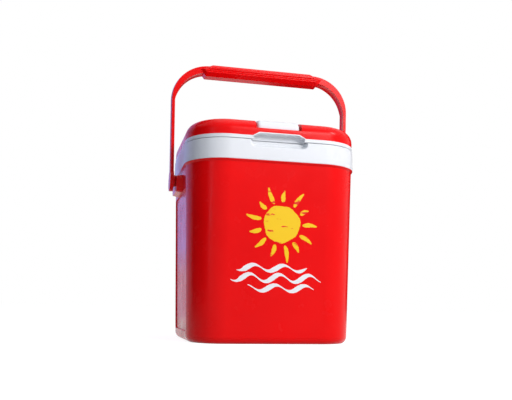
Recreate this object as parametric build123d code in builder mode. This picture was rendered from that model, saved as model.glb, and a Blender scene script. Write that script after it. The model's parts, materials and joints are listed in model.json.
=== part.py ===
from build123d import *
import os
from math import cos, radians, sin, tan

os.makedirs("parts", exist_ok=True)

# A small insulated carrier box. The origin is the middle of its footprint on the ground, X runs
# across the front, Y runs from the front face (-Y) to the back, and Z is up. Sizes are in mm.

cut_clear = 1.0  # how far a cut starts outside the face it goes into
on_face = 0.01  # an edge closer to a face than this lies on it

# ---- tub: the drafted outer shell -----------------------------------------------------------
shell_width = 221.0  # across X, at the shoulder under the collar
shell_depth = 218.0  # across Y, at the same height
shell_corner = 51.0
shell_height = 222.8  # ground to the shoulder that carries the collar
shell_draft = 1.9  # degrees that every wall leans in towards the base
shell_wall = 2.6
shell_floor = 4.4
base_bevel = 9.0
bevel_blend = 2.5  # rounding where the bevel meets the wall
bead_out = 1.5  # how far the bead under the collar stands out
bead_height = 4.4
bead_slope = 2.0  # height of the bead's sloping underside
bead_draft = 40.0
neck_height = 11.2  # upstand that the collar's skirt slips over
skirt_fit = 0.3
foot_band = 22.0  # width of the ring that the base stands on
foot_rise = 1.8  # depth of the hollow inside that ring
filler_radius = 13.0

# ---- side panels and handle bosses ----------------------------------------------------------
panel_margin = 47.0  # from the shell's front and back to a side panel
panel_low = 13.0
panel_below = 30.8  # from the shoulder down to a panel's top
panel_depth = 2.4
panel_corner = 7.0
panel_lap = 1.2  # depth at which the material behind a panel starts, inside the wall
pivot_below = 11.8  # from the shoulder down to the pivot axis
boss_length = 54.0
boss_rise = 21.0
boss_out = 7.3  # how far a boss stands out beyond the shoulder
boss_corner = 7.0
boss_spread = 12.0  # degrees of draft on the boss's flanks
boss_gap = 1.5  # between a boss and the panel below it
boss_root = 10.4  # how far a boss reaches in behind the wall
hub_radius = 7.8
pin_radius = 5.0
pin_depth = 9.5  # how far the pin reaches in behind the boss's face
pin_head_radius = 9.0
pin_head = 1.4

# ---- liner and insulation -------------------------------------------------------------------
insulation = 24.0  # foam between the shell and the liner, at the mouth
liner_wall = 2.0
liner_floor = 31.0  # height of the inside floor
liner_corner = 20.0
liner_draft = 1.5
liner_flange = 2.0
liner_blend = 5.0  # rounding at the foot of the liner's inside walls

# ---- collar ---------------------------------------------------------------------------------
collar_out = 2.0  # how far it stands out beyond the shoulder
collar_height = 25.8
collar_skirt = 2.4
collar_deck = 3.0
collar_lip = 2.4
collar_edge = 1.0  # rounding of the collar's outer edges
mouth_step = 1.0  # how far the collar's mouth stands back from the liner's

# ---- finger scoop under the lid's front edge -------------------------------------------------
scoop_width = 73.0
scoop_drop = 9.0  # below the collar's top
scoop_depth = 9.0  # into the front face
scoop_corner = 6.5
scoop_taper = 24.0
scoop_wall = 2.2
arch_side = 2.5  # how far the lid's share of the scoop stands in at each end
arch_lean = 8.0  # how far each end leans in over its height
arch_rise = 4.6  # above the rim
arch_band = 1.4  # white edge left around it
arch_proud = 0.5  # how far it stands out of the lid's face

# ---- lid ------------------------------------------------------------------------------------
lid_gap = 0.8  # between the collar's top and the lid's rim
rim_height = 4.4
rim_band = 2.6
lid_inset = 0.7  # how far the lid stands back from the collar's face
lid_flange = 2.4
cover_height = 26.4
cover_inset = 0.3
cover_wall = 2.6
cover_round = 16.0
plug_drop = 20.0  # below the collar's top
plug_gap = 3.6
plug_draft = 2.0
plug_wall = 2.2
gasket_height = 3.6

# ---- pour hatch -----------------------------------------------------------------------------
hatch_width = 55.0
hatch_gap = 2.0  # at each side of the hatch
hatch_wall = 2.2
nose_back = 3.8  # from the lid's front to the hatch's nose
hatch_length = 72.2  # from its nose to its hinge axis
hinge_sink = 5.2  # from the lid's top down to the hinge axis
crown_rise = 1.0  # how far the hatch is crowned above the lid's top
hatch_round = 14.5  # shoulder of the hatch's nose
hatch_side_round = 4.5
channel_depth = 16.2
channel_wall = 5.0
channel_behind = 5.6  # from the hinge axis to the back of the channel
knuckle_radius = 3.6
hinge_pin_radius = 1.5
hinge_pin_seat = 4.0  # how far the pin reaches into each wall of the channel
running_fit = 0.05
throat_behind = 47.2  # from the hatch's nose to the throat's axis
throat_bore = 16.0
throat_wall = 2.4
throat_flange = 22.0
throat_lip = 2.0
stopper_radius = 20.0
stopper_nose = 14.6
stopper_tip = 12.4
stopper_drop = 7.4
seal_height = 1.6
seat_gap = 0.3
hatch_fall = 1.0  # from the crown of the hatch to the start of its nose
hatch_back_slope = 14.0  # length over which the hatch's sides rise to the knuckle
stopper_sink = 4.6  # from the lid's top down to the stopper's

# ---- bail handle ----------------------------------------------------------------------------
strap_width = 16.0
strap_thick = 4.0
strap_sag = 2.5  # how far the strap's long edges drop below its crown
bail_gap = 5.5  # from a boss's face to the middle of the strap
bail_splay = 3.2  # how much wider the arms are just under the bends
bail_bend = 50.0
hand_room = 96.8  # from the lid's top to the top of the strap
eye_radius = 14.5
eye_thick = 5.0
eye_out = 7.4  # from a boss's face to the outside of the eye
side_play = 0.3
grip_end_gap = 40.5  # from an arm to the end of the grip
grip_width = 24.0
grip_over = 0.9  # above the strap
grip_under = 17.0  # below the strap's top
grip_chamfer = 6.5
grip_top_chamfer = 4.0
grip_upper_ramp = 9.0  # how far the ends of the upper half stand in across its height
grip_lower_ramp = 6.0  # the same for the lower half
grip_flank = 4.0
groove_pitch = 3.4
groove_radius = 0.8
groove_count = 3

# ---- ice packs ------------------------------------------------------------------------------
pack_side_gap = 12.8  # from a pack's edge to the next pack
pack_thick = 34.0
pack_height = 163.0
pack_round = 7.0
pack_edge = 4.0
pack_wall_gap = 1.6
pack_count = 4
pack_neck = 9.0
pack_cap_radius = 12.0
pack_cap_height = 9.0
pack_neck_height = 6.0
pack_neck_edge = 21.0  # from a pack's edge to the middle of its neck

# ---- sizes that follow ----------------------------------------------------------------------
draft_run = tan(radians(shell_draft))
inner_width = shell_width - 2 * shell_wall
inner_depth = shell_depth - 2 * shell_wall
panel_length = shell_depth - 2 * panel_margin
panel_high = shell_height - panel_below
pivot_height = shell_height - pivot_below
boss_face = shell_width / 2 + boss_out
collar_width = shell_width + 2 * collar_out
collar_depth = shell_depth + 2 * collar_out
collar_corner = shell_corner + collar_out
collar_top = shell_height + collar_height
arch_width = scoop_width - 2 * arch_side
arch_top_width = arch_width - 2 * arch_lean
neck_top = shell_height + neck_height
neck_width = collar_width - 2 * (collar_skirt + skirt_fit)
neck_depth = collar_depth - 2 * (collar_skirt + skirt_fit)
neck_corner = collar_corner - collar_skirt - skirt_fit
mouth_width = inner_width - 2 * insulation
mouth_depth = inner_depth - 2 * insulation
flange_top = neck_top + liner_flange
opening_width = mouth_width + 2 * mouth_step
opening_depth = mouth_depth + 2 * mouth_step
opening_corner = liner_corner + mouth_step
rim_bottom = collar_top + lid_gap
rim_top = rim_bottom + rim_height
lid_height = rim_top + cover_height
lid_width = collar_width - 2 * lid_inset
lid_depth = collar_depth - 2 * lid_inset
lid_corner = collar_corner - lid_inset
flange_face = rim_bottom + lid_flange
plug_width = mouth_width - 2 * plug_gap
plug_depth = mouth_depth - 2 * plug_gap
plug_corner = liner_corner - plug_gap
plug_bottom = collar_top - plug_drop
cover_width = lid_width - 2 * cover_inset
cover_depth = lid_depth - 2 * cover_inset
cover_corner = lid_corner - cover_inset
channel_half = hatch_width / 2 + hatch_gap
channel_floor = lid_height - channel_depth
hatch_nose = nose_back - cover_depth / 2
hatch_axis_y = hatch_nose + hatch_length
hatch_axis_z = lid_height - hinge_sink
hatch_crown = lid_height + crown_rise
channel_back = hatch_axis_y + channel_behind
throat_y = hatch_nose + throat_behind
stopper_top = lid_height - stopper_sink
stopper_seat = channel_floor + throat_lip + seat_gap
eye_outside = boss_face + eye_out
eye_inside = eye_outside - eye_thick
bail_foot = boss_face + bail_gap
bail_shoulder = bail_foot + bail_splay
bail_crown = lid_height + hand_room
grip_length = 2 * (bail_shoulder - grip_end_gap)
grip_top = bail_crown + grip_over
grip_bottom = bail_crown - grip_under
grip_split = bail_crown - strap_thick - strap_sag
wall_plane_height = (panel_low + panel_high) / 2
wall_plane_x = shell_width / 2 - (shell_height - wall_plane_height) * draft_run


def block(width, depth, corner, low, high, draft=0.0, mode=Mode.ADD):
    """A rounded block between two heights. Its sizes are those at its top, and its walls lean in
    towards the bottom by the draft."""
    with BuildSketch(Plane.XY.offset(high)) as profile:
        RectangleRounded(width, depth, corner)
    extrude(profile.sketch, amount=high - low, dir=(0, 0, -1), taper=draft, mode=mode)


def side_wall(side):
    """The plane of a side wall's outer face, with its local X to the back and local Y up."""
    lean = radians(shell_draft)
    return Plane(
        origin=(side * wall_plane_x, 0, wall_plane_height),
        x_dir=(0, side, 0),
        z_dir=(side * cos(lean), 0, -sin(lean)),
    )


def side_panel(side, spread, top, bottom, mode):
    """A rounded slab on a side wall, from `top` to `bottom` below the wall's outer face."""
    with BuildSketch(side_wall(side).offset(-top)) as profile:
        RectangleRounded(
            panel_length + 2 * spread,
            panel_high - panel_low + 2 * spread,
            panel_corner + spread,
        )
    extrude(profile.sketch, amount=top - bottom, mode=mode)


def panel_backs(mode):
    """The material behind the two side panels, which keeps the moulding's wall even."""
    for side in (-1, 1):
        side_panel(side, shell_wall, panel_lap, panel_depth + shell_wall, mode)


def front_plane(depth):
    """The front face of a piece that is `depth` deep, seen from the front: X right, Y up."""
    return Plane(origin=(0, -depth / 2, 0), x_dir=(1, 0, 0), z_dir=(0, -1, 0))


def pivot_plane(side, distance):
    """A plane square to the pivot axis, facing outwards at a distance from the middle."""
    return Plane(
        origin=(side * distance, 0, pivot_height), x_dir=(0, side, 0), z_dir=(side, 0, 0)
    )


def pivot_disc(side, radius, inside, outside, mode=Mode.ADD):
    """A round boss or bore on the pivot axis between two distances from the middle."""
    with BuildSketch(pivot_plane(side, outside)) as profile:
        Circle(radius)
    extrude(profile.sketch, amount=inside - outside, mode=mode)


def arch(spread, low, depth, mode):
    """The lid's share of the finger scoop: a low trapezoid let into the front edge."""
    top = rim_top + arch_rise + spread
    with BuildSketch(front_plane(lid_depth).offset(arch_proud)) as profile:
        with BuildLine():
            Polyline(
                (-arch_width / 2 - spread, low),
                (-arch_width / 2 - spread, rim_top),
                (-arch_top_width / 2 - spread, top),
                (arch_top_width / 2 + spread, top),
                (arch_width / 2 + spread, rim_top),
                (arch_width / 2 + spread, low),
                close=True,
            )
        make_face()
    extrude(profile.sketch, amount=-depth - arch_proud, mode=mode)


def throat_hole(radius, low, high, mode=Mode.SUBTRACT):
    """A round hole or plug on the axis of the pour throat."""
    with BuildSketch(Plane.XY.offset(low)) as profile:
        with Locations((0, throat_y)):
            Circle(radius)
    extrude(profile.sketch, amount=high - low, mode=mode)


def channel(spread, floor, mode):
    """The slot in the lid's top that the hatch lies in, grown sideways and backwards by spread."""
    length = channel_back + spread + cover_depth
    with BuildSketch(Plane.XY.offset(floor)) as profile:
        with Locations((0, channel_back + spread)):
            Rectangle(2 * (channel_half + spread), length, align=(Align.CENTER, Align.MAX))
    extrude(profile.sketch, amount=hatch_crown - floor, mode=mode)


def hinge_axis(radius, half_length, mode=Mode.ADD):
    """A rod or bore along the hatch's hinge axis."""
    with BuildSketch(Plane.YZ.offset(-half_length)) as profile:
        with Locations((hatch_axis_y, hatch_axis_z)):
            Circle(radius)
    extrude(profile.sketch, amount=2 * half_length, mode=mode)


def save(piece, name):
    """Label a finished piece and write it as its own file."""
    piece.part.label = name
    export_step(piece.part, f"parts/{name}.step")


# ---- the space inside the shell, which the foam and the liner fill ----------------------------
with BuildPart() as shell_hollow:
    block(
        inner_width,
        inner_depth,
        shell_corner - shell_wall,
        shell_floor,
        shell_height,
        shell_draft,
    )
    chamfer(shell_hollow.faces().sort_by(Axis.Z)[0].edges(), length=base_bevel - shell_wall / 2)
    block(inner_width, inner_depth, shell_corner - shell_wall, shell_height, neck_top)

# ---- outer shell ----------------------------------------------------------------------------
with BuildPart() as outer_shell:
    block(shell_width, shell_depth, shell_corner, 0, shell_height, shell_draft)
    chamfer(outer_shell.faces().sort_by(Axis.Z)[0].edges(), length=base_bevel)
    bevel_top = outer_shell.edges().filter_by_position(
        Axis.Z, base_bevel - on_face, base_bevel + on_face
    )
    fillet(bevel_top, radius=bevel_blend)
    bead_width = shell_width + 2 * bead_out
    bead_depth = shell_depth + 2 * bead_out
    bead_corner = shell_corner + bead_out
    bead_low = shell_height - bead_height
    block(bead_width, bead_depth, bead_corner, bead_low, bead_low + bead_slope, bead_draft)
    block(bead_width, bead_depth, bead_corner, bead_low + bead_slope, shell_height)
    block(neck_width, neck_depth, neck_corner, shell_height, neck_top)
    for side in (-1, 1):
        with BuildSketch(pivot_plane(side, boss_face)):
            with Locations((0, panel_high + boss_gap + boss_rise / 2 - pivot_height)):
                RectangleRounded(boss_length, boss_rise, boss_corner)
        extrude(amount=shell_width / 2 - boss_face - boss_root, taper=-boss_spread)
        pivot_disc(side, hub_radius, boss_face - shell_wall, eye_inside - side_play)
    add(shell_hollow.part, mode=Mode.SUBTRACT)
    panel_backs(Mode.ADD)
    for side in (-1, 1):
        side_panel(side, 0, -cut_clear, panel_depth, Mode.SUBTRACT)
        pivot_disc(side, pin_radius, boss_face - pin_depth, eye_outside, Mode.SUBTRACT)
    with BuildSketch(Plane.XY):
        RectangleRounded(
            shell_width - 2 * (shell_height * draft_run + base_bevel + foot_band),
            shell_depth - 2 * (shell_height * draft_run + base_bevel + foot_band),
            shell_corner - foot_band,
        )
    extrude(amount=foot_rise, mode=Mode.SUBTRACT)
    with BuildSketch(Plane.XY):
        Circle(filler_radius)
    extrude(amount=shell_floor, mode=Mode.SUBTRACT)
save(outer_shell, "outer_shell")

# ---- filler plug: closes the hole that the foam is injected through ----------------------------
with BuildPart() as filler_plug:
    with BuildSketch(Plane.XY.offset(foot_rise)):
        Circle(filler_radius)
    extrude(amount=shell_floor - foot_rise)
    with BuildSketch(Plane.XY.offset(foot_rise)):
        Circle(filler_radius / 2)
    extrude(amount=foot_rise / 2, mode=Mode.SUBTRACT)
save(filler_plug, "filler_plug")

# ---- insulation between the shell and the liner -----------------------------------------------
with BuildPart() as foam_body:
    add(shell_hollow.part)
    panel_backs(Mode.SUBTRACT)
    block(
        mouth_width + 2 * liner_wall,
        mouth_depth + 2 * liner_wall,
        liner_corner + liner_wall,
        liner_floor - liner_wall,
        neck_top,
        liner_draft,
        Mode.SUBTRACT,
    )
save(foam_body, "foam_body")

# ---- inner liner ------------------------------------------------------------------------------
with BuildPart() as inner_liner:
    block(
        mouth_width + 2 * liner_wall,
        mouth_depth + 2 * liner_wall,
        liner_corner + liner_wall,
        liner_floor - liner_wall,
        neck_top,
        liner_draft,
    )
    block(neck_width, neck_depth, neck_corner, neck_top, flange_top)
    block(
        mouth_width,
        mouth_depth,
        liner_corner,
        liner_floor,
        flange_top,
        liner_draft,
        Mode.SUBTRACT,
    )
    fillet(inner_liner.faces().filter_by(Axis.Z).sort_by(Axis.Z)[1].edges(), radius=liner_blend)
save(inner_liner, "inner_liner")

# ---- collar: skirt, deck and the lip that clamps the liner's flange ----------------------------
with BuildPart() as rim_collar:
    block(collar_width, collar_depth, collar_corner, shell_height, collar_top)
    fillet(rim_collar.faces().sort_by(Axis.Z)[-1].edges(), radius=collar_edge)
    fillet(rim_collar.faces().sort_by(Axis.Z)[0].edges(), radius=collar_edge / 2)
    block(
        collar_width - 2 * collar_skirt,
        collar_depth - 2 * collar_skirt,
        collar_corner - collar_skirt,
        shell_height,
        collar_top - collar_deck,
        mode=Mode.SUBTRACT,
    )
    block(
        opening_width + 2 * collar_lip,
        opening_depth + 2 * collar_lip,
        opening_corner + collar_lip,
        flange_top,
        collar_top - collar_deck,
    )
    with BuildSketch(Plane.XY.offset(collar_top - scoop_drop - scoop_wall)):
        with Locations((0, -collar_depth / 2 + collar_skirt / 2)):
            Rectangle(
                scoop_width + 2 * scoop_wall,
                scoop_depth + scoop_wall - collar_skirt / 2,
                align=(Align.CENTER, Align.MIN),
            )
    extrude(amount=scoop_drop + scoop_wall - collar_edge)
    block(
        opening_width,
        opening_depth,
        opening_corner,
        flange_top,
        collar_top,
        mode=Mode.SUBTRACT,
    )
    with BuildSketch(front_plane(collar_depth)):
        with Locations((0, collar_top - scoop_drop)):
            RectangleRounded(
                scoop_width,
                scoop_drop + 2 * scoop_corner,
                scoop_corner,
                align=(Align.CENTER, Align.MIN),
            )
    extrude(amount=-scoop_depth, taper=scoop_taper, mode=Mode.SUBTRACT)
save(rim_collar, "rim_collar")

# ---- lid pan: white rim, arch over the scoop, and the plug that fills the mouth -----------------
with BuildPart() as lid_pan:
    block(lid_width, lid_depth, lid_corner, rim_bottom, rim_top)
    fillet(lid_pan.faces().sort_by(Axis.Z)[0].edges(), radius=collar_edge)
    block(
        lid_width - 2 * rim_band,
        lid_depth - 2 * rim_band,
        lid_corner - rim_band,
        flange_face,
        rim_top,
        mode=Mode.SUBTRACT,
    )
    arch(0, flange_face, scoop_depth + scoop_wall, Mode.ADD)
    block(plug_width, plug_depth, plug_corner, plug_bottom, flange_face, plug_draft)
    block(
        plug_width - 2 * plug_wall,
        plug_depth - 2 * plug_wall,
        plug_corner - plug_wall,
        plug_bottom + plug_wall,
        flange_face,
        plug_draft,
        Mode.SUBTRACT,
    )
    arch(-arch_band, rim_bottom, scoop_depth, Mode.SUBTRACT)
    throat_hole(throat_bore + throat_wall, plug_bottom, rim_top)
save(lid_pan, "lid_pan")

# ---- the hollow inside the lid's cover, which leaves the hatch's channel standing ---------------
with BuildPart() as cover_hollow:
    block(
        cover_width - 2 * cover_wall,
        cover_depth - 2 * cover_wall,
        cover_corner - cover_wall,
        rim_top,
        lid_height - cover_wall,
    )
    fillet(cover_hollow.faces().sort_by(Axis.Z)[-1].edges(), radius=cover_round - cover_wall)
    channel(channel_wall, channel_floor - cover_wall, Mode.SUBTRACT)
    arch(2 * running_fit, flange_face, scoop_depth + scoop_wall + running_fit, Mode.SUBTRACT)

# ---- lid cover ----------------------------------------------------------------------------------
with BuildPart() as lid_cover:
    block(cover_width, cover_depth, cover_corner, rim_top, lid_height)
    fillet(lid_cover.faces().sort_by(Axis.Z)[-1].edges(), radius=cover_round)
    add(cover_hollow.part, mode=Mode.SUBTRACT)
    arch(running_fit, flange_face, scoop_depth + scoop_wall + running_fit, Mode.SUBTRACT)
    channel(0, channel_floor, Mode.SUBTRACT)
    throat_hole(throat_bore + throat_wall, rim_top, lid_height)
    hinge_axis(hinge_pin_radius, channel_half + hinge_pin_seat, Mode.SUBTRACT)
save(lid_cover, "lid_cover")

# ---- foam inside the lid ------------------------------------------------------------------------
with BuildPart() as lid_foam:
    add(cover_hollow.part)
    block(
        lid_width - 2 * rim_band,
        lid_depth - 2 * rim_band,
        lid_corner - rim_band,
        flange_face,
        rim_top,
    )
    arch(0, flange_face, scoop_depth + scoop_wall, Mode.SUBTRACT)
    block(
        plug_width - 2 * plug_wall,
        plug_depth - 2 * plug_wall,
        plug_corner - plug_wall,
        plug_bottom + plug_wall,
        flange_face,
        plug_draft,
    )
    throat_hole(throat_bore + throat_wall, plug_bottom, lid_height)
save(lid_foam, "lid_foam")

# ---- gasket round the root of the lid's plug ------------------------------------------------------
with BuildPart() as lid_gasket:
    block(
        mouth_width - 2 * seat_gap,
        mouth_depth - 2 * seat_gap,
        liner_corner - seat_gap,
        rim_bottom - gasket_height,
        rim_bottom,
    )
    block(
        plug_width,
        plug_depth,
        plug_corner,
        plug_bottom,
        flange_face,
        plug_draft,
        Mode.SUBTRACT,
    )
save(lid_gasket, "lid_gasket")

# ---- pour throat: a flanged tube through the lid --------------------------------------------------
with BuildPart() as pour_throat:
    throat_hole(throat_bore + throat_wall, plug_bottom, channel_floor, Mode.ADD)
    throat_hole(throat_flange, channel_floor, channel_floor + throat_lip, Mode.ADD)
    throat_hole(throat_bore, plug_bottom, channel_floor + throat_lip)
save(pour_throat, "pour_throat")

# ---- hatch ----------------------------------------------------------------------------------------
def hatch_outline(inset, slope):
    """The hatch seen from its side: knuckle, crowned top and rounded nose, moved in by `inset`.
    Its lower edge rises to the knuckle over the length `slope`."""
    low = channel_floor + 2 * seat_gap
    nose = hatch_nose + inset
    top = hatch_crown - inset
    back = hatch_axis_y - (inset and knuckle_radius)
    back_top = hatch_axis_z + knuckle_radius - inset
    bend = hatch_round - inset
    with BuildSketch(Plane.YZ.offset(-hatch_width / 2 + inset)) as profile:
        with BuildLine():
            front = Line((nose, low), (nose, top - bend - hatch_fall))
            shoulder = TangentArc(front @ 1, (nose + bend, top - hatch_fall), tangent=(0, 1))
            crown = ThreePointArc(shoulder @ 1, ((nose + back) / 2, top), (back, back_top))
            Polyline(crown @ 1, (back, hatch_axis_z), (back - slope, low), (nose, low))
        make_face()
    return profile.sketch


with BuildPart() as hatch_cover:
    extrude(hatch_outline(0, hatch_back_slope), amount=hatch_width)
    long_edges = hatch_cover.edges().filter_by(lambda e: e.center().Z > hatch_axis_z)
    side_edges = long_edges.filter_by(lambda e: abs(abs(e.center().X) - hatch_width / 2) < on_face)
    fillet(side_edges, radius=hatch_side_round)
    inside_width = hatch_width - 2 * hatch_wall
    extrude(hatch_outline(hatch_wall, 0), amount=inside_width, mode=Mode.SUBTRACT)
    hinge_axis(knuckle_radius, hatch_width / 2 - hatch_side_round)
    hinge_axis(hinge_pin_radius + running_fit, channel_half, Mode.SUBTRACT)
save(hatch_cover, "hatch_cover")

with BuildPart() as hatch_hinge_pin:
    hinge_axis(hinge_pin_radius, channel_half + hinge_pin_seat)
save(hatch_hinge_pin, "hatch_hinge_pin")

with BuildPart() as hatch_plug:
    with BuildSketch(Plane.XZ.offset(-throat_y)):
        with BuildLine():
            Polyline(
                (0, stopper_seat + seal_height - stopper_drop),
                (stopper_tip, stopper_seat + seal_height - stopper_drop),
                (stopper_nose, stopper_seat),
                (stopper_nose, stopper_seat + seal_height),
                (stopper_radius, stopper_seat + seal_height),
                (stopper_radius, stopper_top),
                (0, stopper_top),
                close=True,
            )
        make_face()
    revolve(axis=Axis((0, throat_y, 0), (0, 0, 1)))
save(hatch_plug, "hatch_plug")

with BuildPart() as hatch_seal:
    throat_hole(stopper_radius, stopper_seat, stopper_seat + seal_height, Mode.ADD)
    throat_hole(stopper_nose, stopper_seat, stopper_seat + seal_height)
save(hatch_seal, "hatch_seal")

# ---- bail: a crowned strap bent over the lid, with a round eye at each foot -------------------------
with BuildPart() as bail_strap:
    with BuildLine() as bail_path:
        FilletPolyline(
            (-bail_foot, 0, pivot_height),
            (-bail_shoulder, 0, bail_crown - strap_thick / 2),
            (bail_shoulder, 0, bail_crown - strap_thick / 2),
            (bail_foot, 0, pivot_height),
            radius=bail_bend,
        )
    foot = bail_path.line @ 0
    with BuildSketch(Plane(origin=foot, x_dir=(0, 1, 0), z_dir=bail_path.line % 0)):
        half = strap_width / 2
        crown_line = strap_thick / 2
        edge_line = crown_line - strap_sag
        with BuildLine():
            top_arc = ThreePointArc((-half, edge_line), (0, crown_line), (half, edge_line))
            Line(top_arc @ 1, (half, edge_line - strap_thick))
            under_arc = ThreePointArc(
                (half, edge_line - strap_thick),
                (0, crown_line - strap_thick),
                (-half, edge_line - strap_thick),
            )
            Line(under_arc @ 1, top_arc @ 0)
        make_face()
    sweep(path=bail_path.line)
    for side in (-1, 1):
        pivot_disc(side, eye_radius, eye_inside, eye_outside)
        pivot_disc(side, eye_radius, eye_inside - eye_thick, eye_inside, Mode.SUBTRACT)
        pivot_disc(
            side,
            pin_radius + running_fit,
            eye_inside - eye_thick,
            eye_outside + cut_clear,
            Mode.SUBTRACT,
        )
        pivot_disc(
            side,
            pin_head_radius + side_play,
            eye_outside - pin_head - side_play,
            eye_outside + cut_clear,
            Mode.SUBTRACT,
        )
save(bail_strap, "bail_strap")


def grip_half(low, high, low_inset, high_inset):
    """The plain bar of one half of the grip, whose two ends stand in by an inset at each height."""
    with BuildSketch(Plane.XZ.offset(-grip_width / 2)) as profile:
        with BuildLine():
            Polyline(
                (low_inset - grip_length / 2, low),
                (grip_length / 2 - low_inset, low),
                (grip_length / 2 - high_inset, high),
                (high_inset - grip_length / 2, high),
                close=True,
            )
        make_face()
    extrude(profile.sketch, amount=grip_width)


def taper_ends(half):
    """Chamfer the upright edges of a grip half's two end faces, so that it thins into the strap."""
    for order in (0, -1):
        end_face = half.faces().sort_by(Axis.X)[order]
        flanks = end_face.edges().filter_by(lambda e: abs(e.center().Y) > grip_width / 2 - on_face)
        chamfer(flanks, length=grip_flank)


def finger_grooves():
    """Long grooves in both sides of the grip, the topmost along its seam."""
    for number in range(groove_count):
        with BuildSketch(Plane.YZ.offset(-grip_length / 2)) as profile:
            for side in (-1, 1):
                with Locations((side * grip_width / 2, grip_split - number * groove_pitch)):
                    Circle(groove_radius)
        extrude(profile.sketch, amount=grip_length, mode=Mode.SUBTRACT)


def strap_land(mode):
    """The crowned rib of the lower half that fills the hollow underside of the strap."""
    with BuildSketch(Plane.XY.offset(grip_split)) as profile:
        Rectangle(grip_length, strap_width)
    extrude(profile.sketch, amount=strap_sag, mode=mode)


with BuildPart() as grip_upper:
    grip_half(grip_split, grip_top, 0, grip_upper_ramp)
    chamfer(
        grip_upper.faces().sort_by(Axis.Z)[-1].edges().filter_by(Axis.X), length=grip_top_chamfer
    )
    taper_ends(grip_upper)
    finger_grooves()
    strap_land(Mode.SUBTRACT)
    add(bail_strap.part, mode=Mode.SUBTRACT)
save(grip_upper, "grip_upper")

with BuildPart() as grip_lower:
    grip_half(grip_bottom, grip_split, grip_lower_ramp, 0)
    chamfer(
        grip_lower.faces().sort_by(Axis.Z)[0].edges().filter_by(Axis.X), length=grip_chamfer
    )
    taper_ends(grip_lower)
    finger_grooves()
    strap_land(Mode.ADD)
    add(bail_strap.part, mode=Mode.SUBTRACT)
save(grip_lower, "grip_lower")

for piece, side in (("left", -1), ("right", 1)):
    with BuildPart() as pivot_pin:
        pivot_disc(side, pin_radius, boss_face - pin_depth, eye_outside - pin_head)
        pivot_disc(side, pin_head_radius, eye_outside - pin_head, eye_outside)
    save(pivot_pin, f"pivot_pin_{piece}")

# ---- ice packs: four, standing round the walls like a pinwheel --------------------------------------
floor_lean = (flange_top - liner_floor) * tan(radians(liner_draft))
stand_off = floor_lean + liner_blend + pack_wall_gap
stand_x = mouth_width / 2 - stand_off
stand_y = mouth_depth / 2 - stand_off
pack_width = 2 * min(stand_x, stand_y) - pack_thick - pack_side_gap
for number, piece in enumerate(("front", "right", "back", "left")):
    along, across = (stand_x, stand_y) if number % 2 == 0 else (stand_y, stand_x)
    middle = (pack_width / 2 - along, pack_thick / 2 - across)
    neck = (pack_width - pack_neck_edge - along, pack_thick / 2 - across)
    turn = number * 360 / pack_count
    with BuildPart() as ice_pack:
        stand = Plane(origin=(0, 0, liner_floor)).rotated((0, 0, turn))
        with BuildSketch(stand):
            with Locations(middle):
                RectangleRounded(pack_width, pack_thick, pack_round)
        extrude(amount=pack_height)
        fillet(ice_pack.faces().filter_by(Axis.Z).edges(), radius=pack_edge)
        with BuildSketch(stand.offset(pack_height)):
            with Locations(neck):
                Circle(pack_neck)
        extrude(amount=pack_neck_height)
    save(ice_pack, f"ice_pack_{piece}")
    with BuildPart() as ice_pack_cap:
        with BuildSketch(stand.offset(pack_height)):
            with Locations(neck):
                Circle(pack_cap_radius)
                Circle(pack_neck, mode=Mode.SUBTRACT)
        extrude(amount=pack_neck_height)
        with BuildSketch(stand.offset(pack_height + pack_neck_height)):
            with Locations(neck):
                Circle(pack_cap_radius)
        extrude(amount=pack_cap_height - pack_neck_height)
    save(ice_pack_cap, f"ice_pack_cap_{piece}")
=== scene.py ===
# %% [markdown]
# # A hand-held insulated carrier box
# This lesson dresses a finished mechanical model of a small red and white carrier box: a drafted
# tub, a white collar, a lid with a pour hatch, and an upright bail with a grip. The mechanical
# model fixes every size and every joint. Blender adds what the eye sees: shells with soft edges,
# moulded plastics with a little life in them, a printed front, and the light.

# %% Load the mechanical model
import json
from math import cos, pi, radians, sin, tan

import bpy
from mathutils import Matrix, Vector


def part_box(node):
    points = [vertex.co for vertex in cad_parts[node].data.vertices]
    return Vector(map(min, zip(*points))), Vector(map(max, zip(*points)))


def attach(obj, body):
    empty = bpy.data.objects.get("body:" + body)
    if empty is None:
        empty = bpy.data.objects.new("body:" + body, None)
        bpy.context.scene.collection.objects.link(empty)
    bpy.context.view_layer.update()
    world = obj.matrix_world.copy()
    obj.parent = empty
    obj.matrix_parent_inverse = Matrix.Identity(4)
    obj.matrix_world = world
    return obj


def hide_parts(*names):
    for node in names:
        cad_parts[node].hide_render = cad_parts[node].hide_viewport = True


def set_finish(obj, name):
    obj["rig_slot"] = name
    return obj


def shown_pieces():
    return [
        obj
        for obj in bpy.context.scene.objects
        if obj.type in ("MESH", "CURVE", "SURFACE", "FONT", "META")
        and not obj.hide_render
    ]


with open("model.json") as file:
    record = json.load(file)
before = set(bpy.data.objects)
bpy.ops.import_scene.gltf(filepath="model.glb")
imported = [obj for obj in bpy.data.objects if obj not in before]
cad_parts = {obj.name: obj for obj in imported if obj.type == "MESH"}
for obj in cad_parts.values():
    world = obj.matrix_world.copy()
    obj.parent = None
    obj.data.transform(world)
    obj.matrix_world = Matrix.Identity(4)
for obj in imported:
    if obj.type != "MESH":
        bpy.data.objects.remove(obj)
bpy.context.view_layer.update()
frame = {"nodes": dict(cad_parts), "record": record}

mm = 0.001
nodes = frame["nodes"]

# %% [markdown]
# ## Camera
# The box stands a little above the eye: the camera is just over the ground, left of the middle, and
# looks up. A lens of about 46 mm keeps the walls from leaning too much.

# %% Camera
view_from = Vector((-200.5, -873.1, 47.4)) * mm
view_yaw = 12.68
view_pitch = 9.10
view_roll = 1.02
lens_pixels = 650
frame_pixels = 512


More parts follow.
